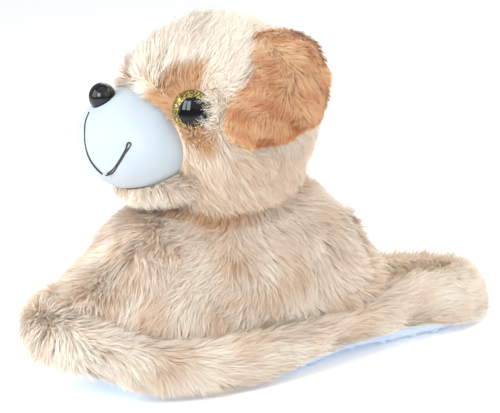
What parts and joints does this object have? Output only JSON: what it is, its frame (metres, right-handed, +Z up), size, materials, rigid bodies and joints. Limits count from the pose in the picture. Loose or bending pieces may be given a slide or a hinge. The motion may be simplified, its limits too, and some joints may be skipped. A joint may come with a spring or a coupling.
{
  "type": "plush animal slipper",
  "caption": "Plush puppy slipper: furry hollow body over the forefoot with a stuffed head, floppy ears and glitter eyes, a fur roll round a soft sole and a low heel wall.",
  "frame": {"origin": "on the floor under the middle of the shoe", "axes": "+Z up, toe along -Y, heel along +Y, the puppy's left side along +X"},
  "size_m": [0.1454, 0.2682, 0.1863],
  "materials": {
    "sole_fabric": "pale blue-white sole fabric with small raised anti-slip dots",
    "lining": "short tan plush",
    "cream_fur": "long soft cream pile",
    "tan_fur": "tan pile, a little shorter",
    "white_velour": "short white velour",
    "black_plastic": "polished black",
    "eye_plastic": "clear dome over gold glitter and a black pupil"
  },
  "bodies": {
    "root": {"outsole": "sole_fabric", "insole": "lining", "upper": "cream_fur", "side_band": "cream_fur", "head": "cream_fur", "muzzle": "white_velour", "nose": "black_plastic", "eye_left": "eye_plastic", "eye_right": "eye_plastic", "ear_left": "tan_fur", "ear_right": "tan_fur"}
  },
  "joints": []
}
